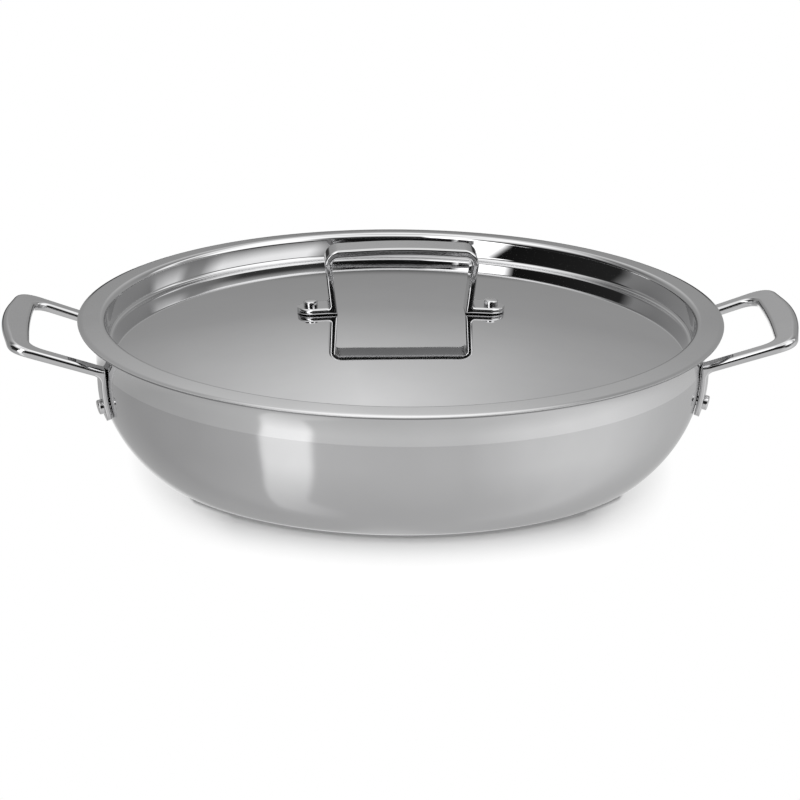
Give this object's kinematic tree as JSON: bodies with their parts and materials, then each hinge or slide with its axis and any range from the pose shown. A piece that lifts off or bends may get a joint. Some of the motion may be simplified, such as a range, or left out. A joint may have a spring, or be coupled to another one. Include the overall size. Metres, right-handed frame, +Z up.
{
  "type": "lidded shallow pan",
  "caption": "Shallow round clad steel pan with riveted loop handles at its sides and a recessed, domed lid that has a strap handle.",
  "frame": {"origin": "centre of the pan's base, where it stands", "axes": "+Z up along the pan's axis; +X through the right-hand handle; the front of the picture looks along +Y"},
  "size_m": [0.3994, 0.3238, 0.1083],
  "materials": {
    "satin_steel": "satin, fine lines round the wall",
    "aluminium_core": "bare, seen only at the cut lip",
    "cast_steel": "polished cast steel with satin grip tops",
    "polished_steel": "polished",
    "rivet_steel": "polished"
  },
  "bodies": {
    "pan": {"pan_outer_ply": "satin_steel", "pan_core_ply": "aluminium_core", "pan_inner_ply": "satin_steel", "right_handle": "cast_steel", "left_handle": "cast_steel", "right_handle_front_rivet": "rivet_steel", "right_handle_rear_rivet": "rivet_steel", "left_handle_front_rivet": "rivet_steel", "left_handle_rear_rivet": "rivet_steel"},
    "lid": {"lid_shell": "polished_steel", "lid_handle": "polished_steel", "lid_left_rivet": "rivet_steel", "lid_right_rivet": "rivet_steel"}
  },
  "joints": [
    {"name": "lid_lift", "type": "slide", "parent": "pan", "child": "lid", "axis": [0, 0, 1], "range_m": [0, 0.15]}
  ]
}
